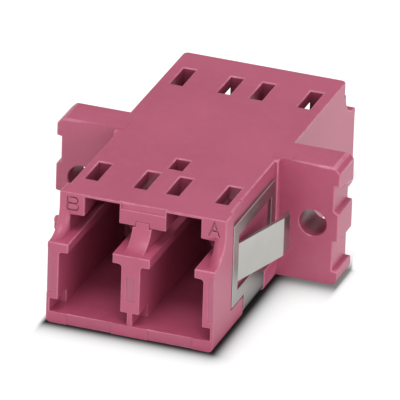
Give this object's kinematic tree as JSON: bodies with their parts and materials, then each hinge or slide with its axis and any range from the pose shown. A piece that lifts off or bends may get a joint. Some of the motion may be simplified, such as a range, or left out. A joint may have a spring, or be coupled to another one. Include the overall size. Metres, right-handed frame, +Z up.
{
  "type": "lc fibre adapter",
  "caption": "Two-port fibre adapter with a flanged plastic body, latch windows in its top, ceramic alignment sleeves and a steel spring clip.",
  "frame": {"origin": "middle of the underside, half way between the two ends", "axes": "+X along the front with port A on the +X side, +Y from the front ports to the rear ports, +Z up to the face with the latch windows"},
  "size_m": [0.022, 0.0304, 0.0096],
  "materials": {
    "moulded_plastic": "satin moulded plastic, heather violet pink",
    "zirconia": "ground white ceramic",
    "spring_steel": "rolled stainless strip"
  },
  "bodies": {
    "root": {"housing": "moulded_plastic", "port_divider": "moulded_plastic", "alignment_sleeve_b": "zirconia", "alignment_sleeve_a": "zirconia", "mounting_clip": "spring_steel"}
  },
  "joints": []
}
